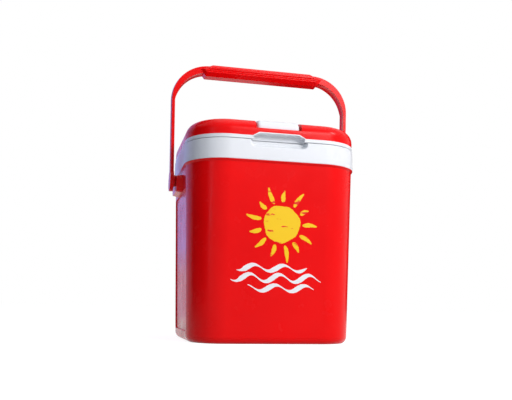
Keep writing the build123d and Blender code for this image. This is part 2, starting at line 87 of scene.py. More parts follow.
def make_camera():
    """The camera, turned by yaw, pitch and roll in that order."""
    data = bpy.data.cameras.new("camera")
    data.sensor_width = 36
    data.lens = data.sensor_width * lens_pixels / frame_pixels
    camera = bpy.data.objects.new("camera", data)
    bpy.context.scene.collection.objects.link(camera)
    camera.matrix_world = (
        Matrix.Translation(view_from)
        @ Matrix.Rotation(-radians(view_yaw), 4, "Z")
        @ Matrix.Rotation(radians(90 + view_pitch), 4, "X")
        @ Matrix.Rotation(radians(view_roll), 4, "Z")
    )
    bpy.context.scene.camera = camera
    return camera


print("lens in mm:", round(make_camera().data.lens, 1))

# %% [markdown]
# ## Sizes
# A shell is easiest to model from its rings: the rounded rectangles that a blade would cut from it
# at each height. The overall sizes come from the mechanical model, so both always agree. Only what
# its boxes can't say, such as corner radii and wall thicknesses, is written here.

# %% Sizes
collar_low, collar_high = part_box("rim_collar")
shell_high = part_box("outer_shell")[1]
rim_low, rim_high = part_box("lid_pan")
cover_low, cover_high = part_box("lid_cover")
collar_width, collar_depth = collar_high.x - collar_low.x, collar_high.y - collar_low.y
shoulder = collar_low.z
collar_corner = 53 * mm
collar_out = 2 * mm
collar_skirt = 2.4 * mm
collar_deck = 3 * mm
shell_width, shell_depth = collar_width - 2 * collar_out, collar_depth - 2 * collar_out
shell_corner = collar_corner - collar_out
wall_lean = radians(1.9)
shell_draft = tan(wall_lean)
shell_wall = 2.6 * mm
clear = 5 * mm  # how far a cutter reaches out past the wall that it cuts
print("collar:", round(collar_width / mm, 1), "x", round(collar_depth / mm, 1), "mm")

# %% [markdown]
# ## Two modelling helpers
# `loft` works as a potter does, ring by ring: it starts from a circle with one face, puts that face
# on the first ring, and extrudes it from ring to ring. The first and the last face stay, or are
# taken away when the shape is a band that closes on itself. `prism` pulls a flat outline out to a
# depth. Every finished piece ends with its place in its mesh and its faces outwards.

# %% Helpers that start and finish a mesh
corner_steps = 18
bevel_steps = 3


def deselect():
    """Leave edit mode and deselect everything."""
    if bpy.context.mode != "OBJECT":
        bpy.ops.object.mode_set(mode="OBJECT")
    bpy.ops.object.select_all(action="DESELECT")


def pick(piece):
    """Make one object the selected and active one."""
    deselect()
    piece.select_set(True)
    bpy.context.view_layer.objects.active = piece
    return piece


def close_up(piece, place=None):
    """Merge doubles, turn the faces outwards, and put the place into the mesh."""
    pick(piece)
    bpy.ops.object.mode_set(mode="EDIT")
    bpy.ops.mesh.select_all(action="SELECT")
    bpy.ops.mesh.remove_doubles(threshold=0.002 * mm)
    bpy.ops.mesh.normals_make_consistent(inside=False)
    bpy.ops.object.mode_set(mode="OBJECT")
    if place is not None:
        piece.matrix_world = place
    bpy.ops.object.transform_apply(location=True, rotation=True, scale=True)
    return piece


def ring(width, depth, corner, height):
    """The points of a rounded rectangle at a height, anticlockwise from its right side."""
    points = []
    for quarter, (right, back) in enumerate(((1, 1), (-1, 1), (-1, -1), (1, -1))):
        middle = Vector((right * (width / 2 - corner), back * (depth / 2 - corner), height))
        for step in range(corner_steps + 1):
            turn = radians(90 * (quarter + step / corner_steps))
            points.append(middle + corner * Vector((cos(turn), sin(turn), 0)))
    return points


def move_to(piece, points):
    """Put the corners of the selected face, in their order, on a list of points."""
    face = next(face for face in piece.data.polygons if face.select)
    for index, point in zip(face.vertices, points):
        piece.data.vertices[index].co = point


def start_face(name, points):
    """A new object with one face through a list of points."""
    deselect()
    bpy.ops.mesh.primitive_circle_add(vertices=len(points), fill_type="NGON")
    piece = bpy.context.object
    piece.name = piece.data.name = name
    move_to(piece, points)
    return piece


def pull(piece, points):
    """Extrude the selected face and put the new one on a list of points."""
    bpy.ops.object.mode_set(mode="EDIT")
    bpy.ops.mesh.extrude_region_move()
    bpy.ops.object.mode_set(mode="OBJECT")
    move_to(piece, points)


def loft(name, rings, band=False, place=None):
    """A closed body through rings of (width, depth, corner, height), or a band round a hole."""
    piece = start_face(name, ring(*rings[0]))
    for sizes in rings[1:]:
        pull(piece, ring(*sizes))
    if band:
        pull(piece, ring(*rings[0]))
        for face in piece.data.polygons:
            face.select = len(face.vertices) > 4
        bpy.ops.object.mode_set(mode="EDIT")
        bpy.ops.mesh.delete(type="ONLY_FACE")
        bpy.ops.object.mode_set(mode="OBJECT")
    return close_up(piece, place)


def prism(name, outline, depth, place=None):
    """A flat outline of (x, y) corners, pulled out along z by a depth."""
    piece = start_face(name, [(x, y, 0) for x, y in outline])
    pull(piece, [(x, y, depth) for x, y in outline])
    return close_up(piece, place)


def disc(name, radius, low, high, place=None, steps=64):
    """A round bar along z between two heights."""
    deselect()
    bpy.ops.mesh.primitive_cylinder_add(
        vertices=steps, radius=radius, depth=high - low, location=(0, 0, (low + high) / 2)
    )
    piece = bpy.context.object
    piece.name = piece.data.name = name
    bpy.ops.object.transform_apply(location=True, rotation=False, scale=False)
    return close_up(piece, place)


def combine(piece, other, how):
    """Join, cut or keep what is common, then remove the second mesh."""
    pick(piece)
    boolean = piece.modifiers.new(how, "BOOLEAN")
    boolean.operation = how
    boolean.solver = "EXACT"
    boolean.object = other
    bpy.ops.object.modifier_apply(modifier=boolean.name)
    bpy.data.objects.remove(other)
    return piece


def soften(piece, radius, angle=32):
    """Round every sharp edge, then shade the piece smooth with its flats kept flat."""
    pick(piece)
    bpy.ops.object.mode_set(mode="EDIT")
    bpy.ops.mesh.select_all(action="SELECT")
    bpy.ops.mesh.remove_doubles(threshold=0.04 * mm)
    bpy.ops.mesh.dissolve_limited(angle_limit=radians(0.1))
    bpy.ops.object.mode_set(mode="OBJECT")
    bevel = piece.modifiers.new("edges", "BEVEL")
    bevel.width = radius
    bevel.segments = bevel_steps
    bevel.limit_method = "ANGLE"
    bevel.angle_limit = radians(angle)
    bevel.miter_outer = "MITER_ARC"
    bpy.ops.object.modifier_apply(modifier=bevel.name)
    bpy.ops.object.shade_smooth_by_angle(angle=radians(angle))
    weighted = piece.modifiers.new("normals", "WEIGHTED_NORMAL")
    weighted.keep_sharp = True
    bpy.ops.object.modifier_apply(modifier=weighted.name)
    print(piece.name, "faces:", len(piece.data.polygons))
    return piece

# %% [markdown]
# ## The tub
# The real tub is one drafted moulding: a flat foot ring, a round lower edge, walls that lean out by
# two degrees, a bead and a neck that the collar slips over. Going on over the neck and down inside
# gives the wall its thickness in the same loft. The side panels and the handle bosses are then
# cut and joined as blocks, because they cross the round corners.

# %% The tub's shell
foot_band = 22 * mm
foot_rise = 1.8 * mm
base_in, base_up = 7 * mm, 9 * mm
base_steps = 6
inner_bevel = 7.7 * mm
shell_floor = 4.4 * mm
bead_out = 1.9 * mm
bead_height = 2.8 * mm
bead_slope = 2.3 * mm
skirt_fit = 0.3 * mm
neck_high = 234 * mm


def wall_ring(height, inset=0.0):
    """The tub's ring at a height, moved in by an inset."""
    run = (shoulder - height) * shell_draft + inset
    return (shell_width - 2 * run, shell_depth - 2 * run, shell_corner - run, height)


def offset_ring(inset, height):
    """A ring parallel to the collar's face, moved in by an inset."""
    return (collar_width - 2 * inset, collar_depth - 2 * inset, collar_corner - inset, height)


def lowered(sizes, height):
    """The same ring at another height."""
    return (*sizes[:3], height)


def base_ring(step):
    """A ring of the tub's round lower edge, from the foot at 0 up to the wall at base_steps."""
    turn = radians(90 * step / base_steps)
    return wall_ring(base_up * (1 - cos(turn)), base_in * (1 - sin(turn)))


hollow = wall_ring(0, base_in + foot_band)
bead_face = collar_out - bead_out
neck = collar_skirt + skirt_fit
inner_neck = collar_out + shell_wall
tub = loft(
    "tub",
    [
        lowered(hollow, foot_rise),
        hollow,
        *(base_ring(step) for step in range(base_steps + 1)),
        wall_ring(shoulder - bead_height),
        offset_ring(bead_face, shoulder - bead_height + bead_slope),
        offset_ring(bead_face, shoulder),
        offset_ring(neck, shoulder),
        offset_ring(neck, neck_high),
        offset_ring(inner_neck, neck_high),
        offset_ring(inner_neck, shoulder),
        wall_ring(shell_floor + inner_bevel, shell_wall),
        wall_ring(shell_floor, shell_wall + inner_bevel),
    ],
)
print("tub faces:", len(tub.data.polygons))

# %% Side panels, bosses and hubs
panel_length = shell_depth - 2 * 47 * mm
panel_low = 13 * mm
panel_high = shoulder - 30.8 * mm
panel_depth = 1.7 * mm
panel_skin = 1.2 * mm
panel_corner = 7 * mm
pivot_height = shoulder - 11.8 * mm
boss_face = shell_width / 2 + 7.3 * mm
boss_length, boss_rise, boss_corner = 54 * mm, 21 * mm, 7 * mm
boss_middle = panel_high + 1.5 * mm + boss_rise / 2
boss_root = 9.2 * mm
boss_spread = boss_root * tan(radians(12))
hub_radius = 7.8 * mm
hub_face = shell_high.x
pin_radius, pin_depth = 5 * mm, 9.5 * mm


def side_frame(side, distance, height, lean=0.0):
    """A frame on a side of the box: x to the back, y up and z outwards."""
    outward = Vector((side * cos(lean), 0, -sin(lean)))
    along = Vector((0, side, 0))
    up = outward.cross(along)
    turn = Matrix((along, up, outward)).transposed().to_4x4()
    return Matrix.Translation((side * distance, 0, height)) @ turn


panel_middle = (panel_low + panel_high) / 2
panel_face = shell_width / 2 - (shoulder - panel_middle) * shell_draft
panel_rise = panel_high - panel_low


def panel_block(side, spread, top, bottom):
    """A rounded slab under a side wall's face, between two depths."""
    sizes = (panel_length + 2 * spread, panel_rise + 2 * spread, panel_corner + spread)
    wall = side_frame(side, panel_face, panel_middle, wall_lean)
    return loft("block", [(*sizes, -bottom), (*sizes, -top)], place=wall)


def boss_block(side):
    """A handle boss with drafted flanks, rooted in the wall."""
    face = (boss_length, boss_rise, boss_corner, 0)
    root = (
        boss_length + 2 * boss_spread,
        boss_rise + 2 * boss_spread,
        boss_corner + boss_spread,
        -boss_root,
    )
    return loft("block", [root, face], place=side_frame(side, boss_face, boss_middle))


for side in (-1, 1):
    axis = side_frame(side, 0, pivot_height)
    combine(tub, panel_block(side, shell_wall, panel_skin, panel_depth + shell_wall), "UNION")
    combine(tub, panel_block(side, 0, -clear, panel_depth), "DIFFERENCE")
    combine(tub, boss_block(side), "UNION")
    combine(tub, disc("block", hub_radius, boss_face - shell_wall, hub_face, axis), "UNION")
    combine(tub, disc("block", pin_radius, boss_face - pin_depth, hub_face + mm, axis), "DIFFERENCE")
soften(tub, 0.9 * mm)
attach(tub, "box")
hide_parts("outer_shell")
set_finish(tub, "red_plastic")

# %% [markdown]
# ## The collar
# A white band clips over the tub's neck. It is a loft that closes on itself: up the outside, in
# over the deck, down the mouth, and back under the deck. The finger scoop is one tapered block cut
# from its front, with a pocket behind it to keep the wall whole.

# %% The collar
collar_top = collar_high.z
liner_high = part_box("inner_liner")[1]
liner_corner = 20 * mm
gasket_low, gasket_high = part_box("lid_gasket")
mouth_width = gasket_high.x - gasket_low.x + 2 * skirt_fit
mouth_depth = gasket_high.y - gasket_low.y + 2 * skirt_fit
mouth_step = mm
collar_lip = 2.4 * mm


def mouth_ring(spread, height):
    """A ring round the box's mouth, moved out by a spread."""
    return (mouth_width + 2 * spread, mouth_depth + 2 * spread, liner_corner + spread, height)


collar = loft(
    "collar",
    [
        offset_ring(0, shoulder),
        offset_ring(0, collar_top),
        mouth_ring(mouth_step, collar_top),
        mouth_ring(mouth_step, liner_high.z),
        mouth_ring(mouth_step + collar_lip, liner_high.z),
        mouth_ring(mouth_step + collar_lip, collar_top - collar_deck),
        offset_ring(collar_skirt, collar_top - collar_deck),
        offset_ring(collar_skirt, shoulder),
    ],
    band=True,
)

scoop_width, scoop_drop, scoop_depth, scoop_corner = 73 * mm, 9 * mm, 9 * mm, 6.5 * mm
scoop_wall = 2.2 * mm
scoop_run = scoop_depth * tan(radians(24))
scoop_height = scoop_drop + 2 * scoop_corner
front_turn = Matrix.Rotation(radians(90), 4, "X")
scoop_low = collar_top - scoop_drop
scoop_frame = Matrix.Translation((0, collar_low.y, scoop_low + scoop_height / 2)) @ front_turn
pocket_low = scoop_low - scoop_wall
pocket_high = collar_top - mm
pocket_depth = scoop_depth + scoop_wall - collar_skirt / 2
pocket_frame = Matrix.Translation(
    (0, collar_low.y + collar_skirt / 2, (pocket_low + pocket_high) / 2)
) @ front_turn
pocket_sizes = (scoop_width + 2 * scoop_wall, pocket_high - pocket_low, mm)
pocket = loft("pocket", [(*pocket_sizes, -pocket_depth), (*pocket_sizes, 0)], place=pocket_frame)
combine(collar, pocket, "UNION")


def scoop_ring(inset, ahead):
    """A ring of the scoop, moved in by an inset, at a distance ahead of the collar's face."""
    return (scoop_width - 2 * inset, scoop_height - 2 * inset, scoop_corner - inset, ahead)


scoop = loft(
    "scoop",
    [scoop_ring(scoop_run, -scoop_depth), scoop_ring(0, 0), scoop_ring(0, 2 * mm)],
    place=scoop_frame,
)
combine(collar, scoop, "DIFFERENCE")
soften(collar, 1.1 * mm)
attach(collar, "box")
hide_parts("rim_collar")
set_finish(collar, "white_plastic")

# %% [markdown]
# ## The lid's rim
# The white rim, the plug that fills the mouth and the sheet between them are one moulding, so they
# are one loft: up the plug's outside, out under the rim, over it, and back in along the top of the
# sheet. A low trapezoid stands over the finger scoop. It is a prism, and the same prism drawn
# smaller cuts its inside, which leaves the even white edge that frames the notch.

# %% The lid's rim
rim_gap, rim_inset = 0.8 * mm, 0.7 * mm
rim_bottom, rim_top = collar_top + rim_gap, cover_low.z
rim_width, rim_depth = rim_high.x - rim_low.x, collar_depth - 2 * rim_inset
rim_corner = collar_corner - rim_inset
rim_band = 2.6 * mm
plug_inset, plug_wall = 3.6 * mm, 2.2 * mm
plug_width, plug_depth = mouth_width - 2 * plug_inset, mouth_depth - 2 * plug_inset
plug_corner = liner_corner - plug_inset
plug_draft = tan(radians(2))
sheet = rim_bottom + 2.4 * mm
throat_radius = 18.4 * mm
throat_y = -59 * mm


def rim_ring(inset, height):
    """A ring parallel to the rim's face."""
    return (rim_width - 2 * inset, rim_depth - 2 * inset, rim_corner - inset, height)


def plug_ring(inset, height):
    """A ring on the plug's drafted wall, moved in by an inset."""
    run = inset + (sheet - height) * plug_draft
    return (plug_width - 2 * run, plug_depth - 2 * run, plug_corner - run, height)


lid_rim = loft(
    "lid_rim",
    [
        plug_ring(0, rim_low.z),
        plug_ring(0, rim_bottom),
        rim_ring(0, rim_bottom),
        rim_ring(0, rim_top),
        rim_ring(rim_band, rim_top),
        rim_ring(rim_band, sheet),
        plug_ring(plug_wall, sheet),
        plug_ring(plug_wall, rim_low.z + plug_wall),
    ],
)
arch_half, arch_top_half, arch_rise = 34 * mm, 26 * mm, 4.6 * mm
arch_wall, arch_fit = 1.4 * mm, 0.05 * mm
arch_deep = scoop_depth + scoop_wall
arch_front = rim_low.y


def arch(spread, low, deep, start=arch_front):
    """The trapezoid over the scoop, grown by a spread, from a front plane back to a depth."""
    high = rim_top + arch_rise + spread
    corners = [(arch_half + spread, rim_top), (arch_top_half + spread, high)]
    left = [(-x, z) for x, z in reversed(corners)]
    outline = [(arch_half + spread, low), *corners, *left, (-arch_half - spread, low)]
    back = collar_low.y + rim_inset + deep
    place = Matrix.Translation((0, back, 0)) @ front_turn
    return prism("arch", outline, back - start, place)


combine(lid_rim, arch(0, sheet, arch_deep), "UNION")
combine(lid_rim, arch(-arch_wall, rim_bottom - mm, scoop_depth, arch_front - mm), "DIFFERENCE")
hole_place = Matrix.Translation((0, throat_y, 0))
combine(lid_rim, disc("hole", throat_radius, rim_low.z - mm, rim_top, hole_place), "DIFFERENCE")
soften(lid_rim, 1.1 * mm)
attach(lid_rim, "lid")
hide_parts("lid_pan")
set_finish(lid_rim, "white_plastic")

# %% [markdown]
# ## The lid's cover
# The red cover is a shallow dome with an even wall: a round shoulder, then a crown that rises a few
# millimetres to the middle, as a large moulded lid does so that it never looks sunken. A subdivided
# block would drift away from the true radius, so the shoulder is an arc of rings instead, once for
# the outside and once for the hollow. The hatch's channel is a plain block cut through the dome's
# front, and the walls that stand beside it are left by keeping the hollow away from it. A copy of
# the hollow, with the room in the rim and in the plug, is the foam that fills the lid.

# %% The lid's cover
cover_top = cover_high.z
cover_inset = 0.3 * mm
cover_width, cover_depth = cover_high.x - cover_low.x, cover_high.y - cover_low.y
cover_corner = rim_corner - cover_inset
cover_round, cover_wall = 16 * mm, 2.6 * mm
crown_reach, crown_lean = 46 * mm, radians(15)
round_steps = 12


def cover_ring(inset, height):
    """A ring parallel to the cover's wall."""
    return (cover_width - 2 * inset, cover_depth - 2 * inset, cover_corner - inset, height)


def dome(name, inset, radius, top):
    """A body with upright walls, a round shoulder, and a crown that levels out at its top."""
    start = inset + radius * (1 - sin(crown_lean))
    rise = (crown_reach - start) * tan(crown_lean) / 2
    rings = [cover_ring(inset, rim_top)]
    for step in range(round_steps + 1):
        turn = (radians(90) - crown_lean) * step / round_steps
        height = top - rise - radius * (cos(crown_lean) - sin(turn))
        rings.append(cover_ring(inset + radius * (1 - cos(turn)), height))
    for step in range(1, round_steps + 1):
        part = step / round_steps
        run = start + (crown_reach - start) * part
        rings.append(cover_ring(run, top - rise * (1 - part) ** 2))
    return loft(name, rings)


def box(name, low, high):
    """A plain box between two corners."""
    low, high = Vector(low), Vector(high)
    outline = [(high.x, high.y), (low.x, high.y), (low.x, low.y), (high.x, low.y)]
    return prism(name, outline, high.z - low.z, Matrix.Translation((0, 0, low.z)))


channel_half, channel_floor, channel_back = 29.5 * mm, 264 * mm, -28.4 * mm
channel_wall = 5 * mm
hinge_y, hinge_z = -34 * mm, 275 * mm
front = cover_low.y - mm
cover = dome("cover", 0, cover_round, cover_top)
hollow = dome("hollow", cover_wall, cover_round - cover_wall, cover_top - cover_wall)
channel_side = channel_half + channel_wall
kept = box(
    "kept",
    (-channel_side, front, channel_floor - cover_wall),
    (channel_side, channel_back + channel_wall, cover_top + mm),
)
combine(hollow, kept, "DIFFERENCE")
filling = hollow.copy()
filling.data = hollow.data.copy()
filling.name = filling.data.name = "lid_filling"
bpy.context.scene.collection.objects.link(filling)
combine(cover, hollow, "DIFFERENCE")
channel = box(
    "channel",
    (-channel_half, front, channel_floor),
    (channel_half, channel_back, cover_top + mm),
)
combine(cover, channel, "DIFFERENCE")
hole = disc("hole", throat_radius, rim_top - mm, cover_top, hole_place)
combine(cover, hole, "DIFFERENCE")
combine(cover, arch(arch_fit, rim_top - mm, arch_deep, front), "DIFFERENCE")
hinge_place = Matrix.Translation((0, hinge_y, hinge_z)) @ Matrix.Rotation(radians(90), 4, "Y")
bore_half = channel_half + 4 * mm
bore = disc("bore", 1.5 * mm, -bore_half, bore_half, hinge_place, steps=24)
combine(cover, bore, "DIFFERENCE")
soften(cover, 0.6 * mm)
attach(cover, "lid")
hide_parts("lid_cover")
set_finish(cover, "red_plastic")

# %% The lid's foam
room = loft(
    "room",
    [
        plug_ring(plug_wall, rim_low.z + plug_wall),
        plug_ring(plug_wall, sheet),
        rim_ring(rim_band, sheet),
        rim_ring(rim_band, rim_top),
    ],
)
combine(filling, room, "UNION")
combine(filling, arch(0, sheet - mm, arch_deep), "DIFFERENCE")
hole = disc("hole", throat_radius, rim_low.z, cover_top, hole_place)
combine(filling, hole, "DIFFERENCE")
soften(filling, 0.3 * mm)
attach(filling, "lid")
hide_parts("lid_foam")
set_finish(filling, "foam")

# %% [markdown]
# ## The hatch
# The small white hatch is a shallow tray that lies upside down in its channel and follows the
# lid's crown. Its side outline is swept across the width; near both ends the outline steps in along
# a quarter circle, which rounds the long edges without a bevel that would meet itself at the nose.

# %% The hatch
hatch_low, hatch_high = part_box("hatch_cover")
hatch_half, hatch_nose, hatch_under = hatch_high.x, hatch_low.y, hatch_low.z
hatch_top = cover_top + mm
hatch_fall, hatch_bend = 4.6 * mm, 10 * mm
hatch_slope = 14 * mm
side_round = 4.5 * mm
knuckle = 3.6 * mm


def hatch_section(x, inset, back, slope, low):
    """The hatch's outline seen from its side, moved in by an inset, at a distance x."""
    top, nose, bend = hatch_top - inset, hatch_nose + inset, hatch_bend - inset
    points = [Vector((x, nose, low))]
    for step in range(round_steps + 1):
        turn = (radians(90) - crown_lean) * step / round_steps
        middle = Vector((x, nose + bend, top - hatch_fall - bend))
        points.append(middle + bend * Vector((0, -cos(turn), sin(turn))))
    start, end = points[-1], Vector((x, back, hinge_z + max(knuckle - inset, 0.4 * mm)))
    for step in range(1, round_steps + 1):
        part = step / round_steps
        point = start.lerp(end, part)
        point.z += 4 * part * (1 - part) * (top - (start.z + end.z) / 2)
        points.append(point)
    points += [Vector((x, back, hinge_z)), Vector((x, back - slope, low))]
    return points


def sweep(name, sections):
    """A closed body through sections given as lists of points."""
    piece = start_face(name, sections[0])
    for points in sections[1:]:
        pull(piece, points)
    return close_up(piece)


edge_steps = 6
edge = [radians(90 * step / edge_steps) for step in range(edge_steps + 1)]
ends = [(hatch_half - side_round * (1 - cos(turn)), side_round * (1 - sin(turn))) for turn in edge]
stations = [(-x, inset) for x, inset in ends] + [(x, inset) for x, inset in reversed(ends)]
outside = [hatch_section(x, inset, hinge_y, hatch_slope, hatch_under) for x, inset in stations]
hatch = sweep("hatch", outside)
hatch_wall = 2.2 * mm
inside = [
    hatch_section(x, hatch_wall, hinge_y - knuckle, 0, hatch_under - mm)
    for x in (hatch_wall - hatch_half, hatch_half - hatch_wall)
]
combine(hatch, sweep("tray", inside), "DIFFERENCE")
rod_half = hatch_half - side_round - 0.3 * mm
combine(hatch, disc("rod", knuckle, -rod_half, rod_half, hinge_place, steps=32), "UNION")
bore = disc("bore", 1.55 * mm, -channel_half, channel_half, hinge_place, steps=24)
combine(hatch, bore, "DIFFERENCE")
soften(hatch, 0.5 * mm)
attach(hatch, "hatch")
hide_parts("hatch_cover")
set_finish(hatch, "white_plastic")

# %% [markdown]
# ## The bail
# The bail's strap is one flat section carried along a path: up an arm, round a bend, across, and
# down again. The section has a crowned back, so light runs along it as a soft line, and it grows
# thicker on the inside of the bends, where a carrier's weight would open them. A curve with a bevel
# object would do the same; sweeping the face keeps full control of how the section turns.

# %% The strap
strap_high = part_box("bail_strap")[1]
strap_half, strap_thick, strap_sag = 8 * mm, 4 * mm, 1.2 * mm
strap_swell = 5.5 * mm
bend_radius = 50 * mm
foot_x, shoulder_x = boss_face + 5.5 * mm, boss_face + 8.7 * mm
crown_z = strap_high.z - strap_thick / 2
lean = (shoulder_x - foot_x) / (crown_z - pivot_height)
bend_x = shoulder_x - lean * bend_radius - bend_radius / cos(lean)
bend_z = crown_z - bend_radius
bend_steps, section_steps = 20, 8


def strap_section(middle, outward):
    """The crowned section of the strap, across y and along its outward direction."""
    depth_in = strap_thick + strap_swell * max(0, outward.z) ** 0.7
    across = Vector((0, 1, 0))
    points = []
    for back, depth in ((1, 0), (-1, depth_in)):
        for step in range(section_steps + 1):
            part = back * (2 * step / section_steps - 1)
            rise = strap_thick / 2 - depth - strap_sag * part * part
            points.append(middle + across * strap_half * part + outward * rise)
    return points


def strap_stations():
    """Middle points and outward directions from the left eye to the right one."""
    bend = []
    for step in range(bend_steps + 1):
        turn = radians(90) * step / bend_steps - lean * (1 - step / bend_steps)
        out = Vector((cos(turn), 0, sin(turn)))
        bend.append((Vector((bend_x, 0, bend_z)) + bend_radius * out, out))
    right = [(Vector((foot_x, 0, pivot_height)), bend[0][1]), *bend]
    flip = Vector((-1, 1, 1))
    left = [(middle * flip, out * flip) for middle, out in right]
    return left + right[::-1]


strap = sweep("strap", [strap_section(*station) for station in strap_stations()])
core = strap.copy()
core.data = strap.data.copy()
bpy.context.scene.collection.objects.link(core)
eye_in, eye_out = boss_face + 2.4 * mm, boss_face + 7.4 * mm
eye_radius, eye_bore = 14.5 * mm, pin_radius + 0.05 * mm
recess_radius, recess_depth = 9.3 * mm, 1.7 * mm
for side in (-1, 1):
    axis = side_frame(side, 0, pivot_height)
    combine(strap, disc("eye", eye_radius, eye_in, eye_out, axis), "UNION")
    combine(strap, disc("room", eye_radius, eye_in - clear, eye_in, axis), "DIFFERENCE")
    combine(strap, disc("bore", eye_bore, eye_in - mm, eye_out + mm, axis), "DIFFERENCE")
    recess = disc("recess", recess_radius, eye_out - recess_depth, eye_out + mm, axis)
    combine(strap, recess, "DIFFERENCE")
soften(strap, 0.6 * mm)
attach(strap, "bail")
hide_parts("bail_strap")
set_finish(strap, "red_plastic")

# %% [markdown]
# ## The grip
# Two half shells clamp the strap. Each is a chamfered bar whose slanting ends run into the strap:
# one section at each end, with every corner pushed in by its height, makes the slant without a
# cut. The upright corners at the ends are then bevelled, and long grooves are cut for the fingers.

# %% The grip's halves
grip_top, grip_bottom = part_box("grip_upper")[1].z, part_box("grip_lower")[0].z + 1.2 * mm
split = crown_z - 4.5 * mm
grip_half, grip_side, grip_corner = 88 * mm, 12 * mm, 4 * mm
groove_count, groove_pitch, groove_radius = 2, 2.8 * mm, 0.8 * mm


def grip_bar(name, far, chamfer, ramp):
    """One half of the grip, from the split to its far face, with slanting ends."""
    near_far = far - chamfer if far > split else far + chamfer
    corners = [(grip_side, split), (grip_side, near_far), (grip_side - chamfer, far)]
    corners += [(-y, z) for y, z in reversed(corners)]
    sections = []
    for end in (-1, 1):
        sections.append(
            [Vector((end * (grip_half - ramp * (z - split) / (far - split)), y, z))
             for y, z in corners]
        )
    half = sweep(name, sections)
    for corner in half.data.vertices:
        corner.select = False
    for line in half.data.edges:
        start, end = (half.data.vertices[index].co for index in line.vertices)
        upright = abs(start.z - end.z) > mm and abs(abs(start.y) - grip_side) < 0.01 * mm
        line.select = upright and abs(abs(end.y) - grip_side) < 0.01 * mm
    for face in half.data.polygons:
        face.select = False
    bpy.context.tool_settings.mesh_select_mode = (False, True, False)
    bpy.ops.object.mode_set(mode="EDIT")
    bpy.ops.mesh.bevel(offset=grip_corner, segments=1, affect="EDGES")
    bpy.ops.object.mode_set(mode="OBJECT")
    bpy.context.tool_settings.mesh_select_mode = (False, False, True)
    turn = Matrix.Rotation(radians(90), 4, "Y")
    for number in range(groove_count):
        for side in (-1, 1):
            height = split - number * groove_pitch
            place = Matrix.Translation((0, side * grip_side, height)) @ turn
            groove = disc("groove", groove_radius, -grip_half, grip_half, place, steps=16)
            combine(half, groove, "DIFFERENCE")
    return half


for name, far, chamfer, ramp in (
    ("grip_upper", grip_top, 4 * mm, 17 * mm),
    ("grip_lower", grip_bottom, 4.8 * mm, 7 * mm),
):
    half = grip_bar(name.replace("_", "_shell_"), far, chamfer, ramp)
    cutter = core.copy()
    cutter.data = core.data.copy()
    bpy.context.scene.collection.objects.link(cutter)
    combine(half, cutter, "DIFFERENCE")
    soften(half, 0.5 * mm, angle=25)
    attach(half, "bail")
    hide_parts(name)
    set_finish(half, "red_plastic")
bpy.data.objects.remove(core)

# %% [markdown]
# ## The printed front
# Boxes like this one carry a bright print in two inks. This print is a sun over three waves. Ink
# lies on the wall as a layer a hair thick, so each brush mark is an outline on the wall's plane,
# pulled out by a quarter of a millimetre. A mask in the material would blur close up; a mesh keeps
# its edge in every view. The long sides of each mark wobble by a seeded draw, as bristles do.

# %% Ink helpers
import random

ink_depth, ink_sunk = 0.25 * mm, 0.1 * mm
bristles = random.Random(11)
wall_foot = Vector((0, shoulder * shell_draft - shell_depth / 2, 0))
wall_up = Vector((0, -sin(wall_lean), cos(wall_lean)))
wall_out = Vector((1, 0, 0)).cross(wall_up)
wall_turn = Matrix((Vector((1, 0, 0)), wall_up, wall_out)).transposed().to_4x4()
wall_place = Matrix.Translation(wall_foot - ink_sunk * wall_out) @ wall_turn


def brush_mark(name, path, half_widths, rough=0.12):
    """A stroke of ink along a path on the front wall, with a half width at each point."""
    sides = ([], [])
    for index, point in enumerate(path):
        ahead = path[min(index + 1, len(path) - 1)] - path[max(index - 1, 0)]
        across = Vector((-ahead.y, ahead.x)).normalized()
        for side, points in zip((1, -1), sides):
            wobble = 1 + bristles.uniform(-rough, rough)
            points.append(point + across * side * half_widths[index] * wobble)
    return prism(name, sides[0][::-1] + sides[1], ink_depth, wall_place)


def join_all(name, parts):
    """Join strokes into one object."""
    pick(parts[0])
    for part in parts[1:]:
        part.select_set(True)
    bpy.ops.object.join()
    whole = bpy.context.object
    whole.name = whole.data.name = name
    print(name, "strokes:", len(parts), "faces:", len(whole.data.polygons))
    return whole


# %% [markdown]
# ## Sun and waves
# The sun is a loose disc and a ring of short rays that swell and fade like a brush pressed down
# and lifted. Each wave is one long stroke whose half width follows the slope, thick on the way up
# and thin on the way down, as a broad pen held at one angle would leave it.

# %% The sun
sun_middle, sun_radius = Vector((5, 145)) * mm, 23 * mm
ray_count, ray_start, ray_end = 13, 26.5 * mm, 46 * mm
disc_steps, ray_steps = 90, 12
disc_outline = []
for step in range(disc_steps):
    turn = 2 * pi * step / disc_steps
    swell = 1 + 0.03 * sin(3 * turn + 1) + 0.02 * sin(7 * turn) + bristles.uniform(-0.012, 0.012)
    disc_outline.append(sun_middle + sun_radius * swell * Vector((cos(turn), sin(turn))))
marks = [prism("sun_disc", disc_outline, ink_depth, wall_place)]
for number in range(ray_count):
    turn = 2 * pi * number / ray_count + bristles.uniform(-0.06, 0.06)
    heading = Vector((cos(turn), sin(turn)))
    aside = Vector((-heading.y, heading.x))
    reach = ray_end - 6 * mm * (number % 2) + bristles.uniform(-2, 2) * mm
    path, half_widths = [], []
    for step in range(ray_steps + 1):
        part = step / ray_steps
        bend = 1.2 * mm * sin(pi * part)
        path.append(sun_middle + heading * (ray_start + (reach - ray_start) * part) + aside * bend)
        half_widths.append((0.7 + 2 * sin(pi * part ** 0.7)) * mm)
    marks.append(brush_mark("ray", path, half_widths))
sun_print = join_all("sun_print", marks)
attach(sun_print, "box")

